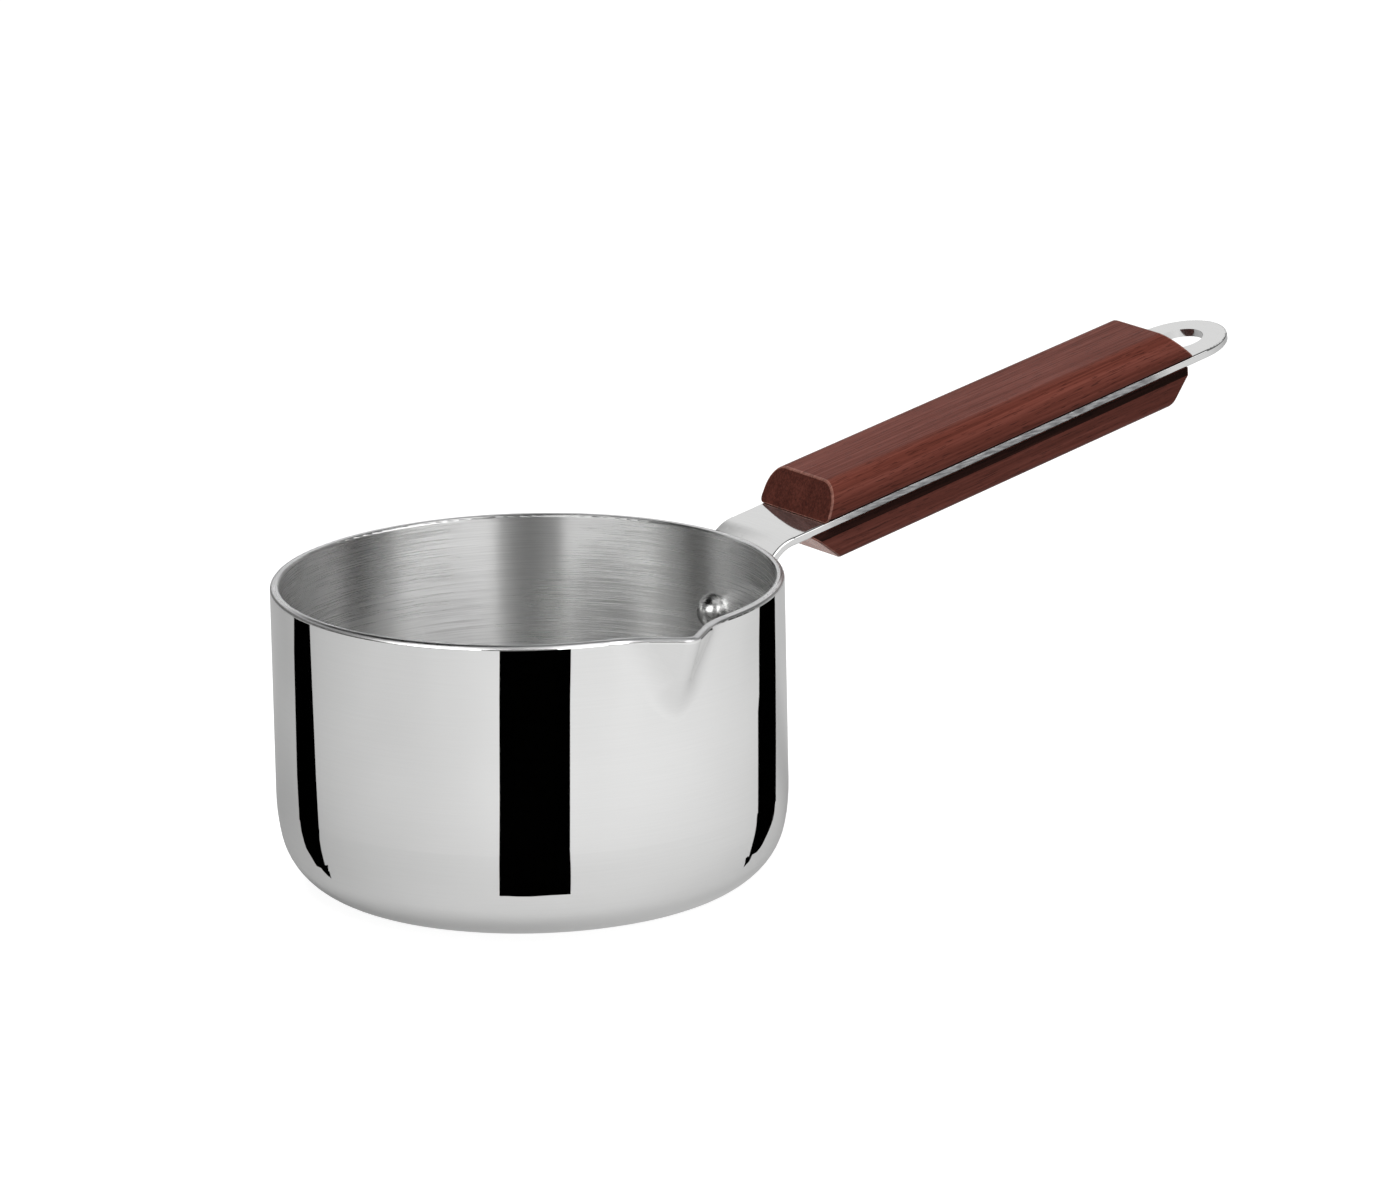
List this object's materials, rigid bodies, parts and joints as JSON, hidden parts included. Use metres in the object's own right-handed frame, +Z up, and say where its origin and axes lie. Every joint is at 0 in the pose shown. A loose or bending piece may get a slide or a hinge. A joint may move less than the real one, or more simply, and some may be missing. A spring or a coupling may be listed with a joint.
{
  "type": "milk pan",
  "caption": "Small deep saucepan with a rounded foot, a pouring spout in the rim, and a rising bar handle of wooden scales on a steel strap with a hanging hole.",
  "frame": {"origin": "centre of the flat underside of the base", "axes": "+Z up out of the pan, +X along the handle away from the pan, -Y towards the pouring spout"},
  "size_m": [0.3068, 0.1491, 0.1222],
  "materials": {
    "polished_steel": "mirror-polished stainless steel",
    "aluminium_sheet": "sheared edge of aluminium sheet",
    "brushed_steel": "stainless steel brushed around the pan",
    "rivet_steel": "polished stainless steel",
    "screw_steel": "turned stainless steel",
    "dark_wood": "oiled reddish brown hardwood with lengthwise grain"
  },
  "bodies": {
    "root": {"outer_shell": "polished_steel", "aluminium_core": "aluminium_sheet", "inner_lining": "brushed_steel", "handle_strap": "polished_steel", "rivet_spout_side": "rivet_steel", "rivet_far_side": "rivet_steel", "upper_scale": "dark_wood", "lower_scale": "dark_wood", "screw_front": "screw_steel", "screw_rear": "screw_steel"}
  },
  "joints": []
}
